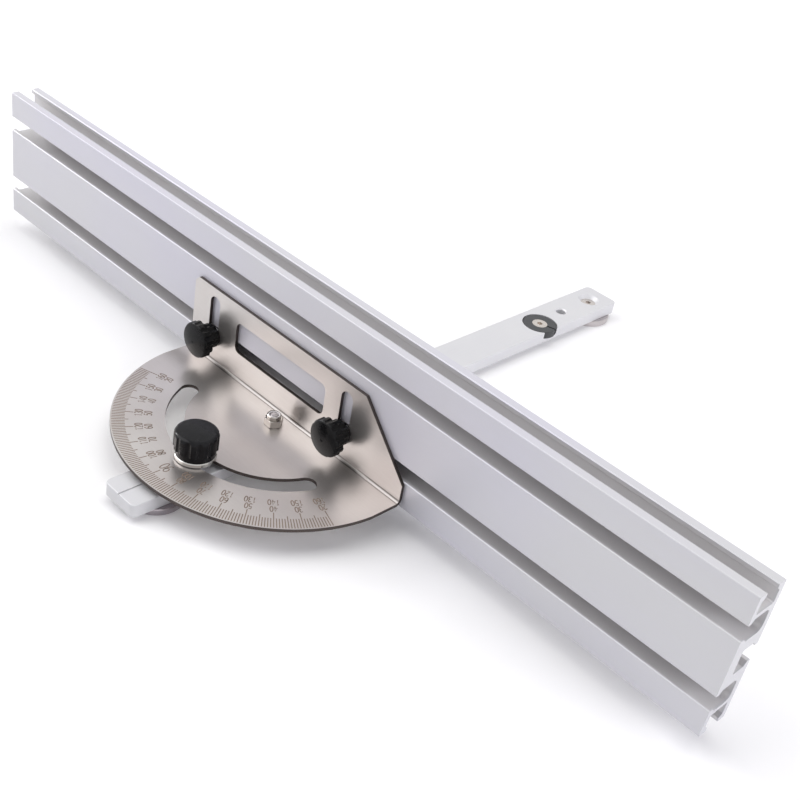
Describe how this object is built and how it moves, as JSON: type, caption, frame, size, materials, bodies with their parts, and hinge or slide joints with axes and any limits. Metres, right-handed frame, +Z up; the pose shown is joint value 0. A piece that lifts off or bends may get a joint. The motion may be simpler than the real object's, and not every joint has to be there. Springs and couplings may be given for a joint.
{
  "type": "miter gauge",
  "caption": "Miter gauge: a table-slot bar with a swivelling folded protractor head, clamp knob and a long slotted aluminium fence held by sliding bolts and knobs",
  "frame": {"origin": "on the pivot axis of the head, in the plane of the bar's underside", "axes": "+X along the fence to the operator's right, +Y along the bar away from the operator, +Z up"},
  "size_m": [0.424, 0.302, 0.072],
  "materials": {
    "bar_aluminium": "clear anodised, fine satin",
    "disc_steel": "turned, satin",
    "screw_steel": "plain bright steel",
    "expansion_plastic": "dark grey, matt",
    "spacer_steel": "plain bright steel",
    "nut_chrome": "bright zinc",
    "nut_nylon": "off-white nylon",
    "knob_plastic": "gloss black",
    "washer_steel": "bright steel",
    "head_stainless": "finely brushed stainless steel",
    "fence_aluminium": "clear anodised, fine satin",
    "insert_brass": "plain turned brass"
  },
  "bodies": {
    "bar": {"miter_bar": "bar_aluminium", "near_t_disc": "disc_steel", "near_t_disc_screw": "screw_steel", "far_t_disc": "disc_steel", "far_t_disc_screw": "screw_steel", "expansion_disc": "expansion_plastic", "pivot_screw": "screw_steel", "pivot_spacer": "spacer_steel", "pivot_nut": "nut_chrome", "pivot_nut_ring": "nut_nylon", "clamp_spacer": "spacer_steel", "clamp_stud": "screw_steel"},
    "expander": {"expansion_screw": "screw_steel"},
    "clamp": {"clamp_knob": "knob_plastic", "clamp_knob_insert": "insert_brass", "clamp_washer": "washer_steel"},
    "head": {"protractor_head": "head_stainless"},
    "bolts": {"left_t_bolt": "screw_steel", "right_t_bolt": "screw_steel"},
    "left_fence_knob": {"left_knob": "knob_plastic", "left_knob_insert": "insert_brass"},
    "right_fence_knob": {"right_knob": "knob_plastic", "right_knob_insert": "insert_brass"},
    "fence": {"fence_extrusion": "fence_aluminium"}
  },
  "joints": [
    {"name": "head_swivel", "type": "hinge", "parent": "bar", "child": "head", "pos_m": [0, 0, 0], "axis": [0, 0, 1], "range_deg": [-68, 68]},
    {"name": "clamp_knob_turn", "type": "hinge", "parent": "bar", "child": "clamp", "pos_m": [0, -0.04035, 0], "axis": [0, 0, 1], "range_deg": [0, 360]},
    {"name": "expansion_screw_turn", "type": "hinge", "parent": "bar", "child": "expander", "pos_m": [0.0022, 0.1714, 0.006], "axis": [0, 0, 1], "range_deg": [0, 360]},
    {"name": "fence_lift", "type": "slide", "parent": "head", "child": "bolts", "axis": [0, 0, 1], "range_m": [0, 0.015]},
    {"name": "fence_slide", "type": "slide", "parent": "bolts", "child": "fence", "axis": [1, 0, 0], "range_m": [-0.16, 0.15]},
    {"name": "left_knob_turn", "type": "hinge", "parent": "bolts", "child": "left_fence_knob", "pos_m": [-0.05198, 0, 0.02195], "axis": [0, -1, 0], "range_deg": [0, 360]},
    {"name": "right_knob_turn", "type": "hinge", "parent": "bolts", "child": "right_fence_knob", "pos_m": [0.03098, 0, 0.02195], "axis": [0, -1, 0], "range_deg": [0, 360]}
  ]
}
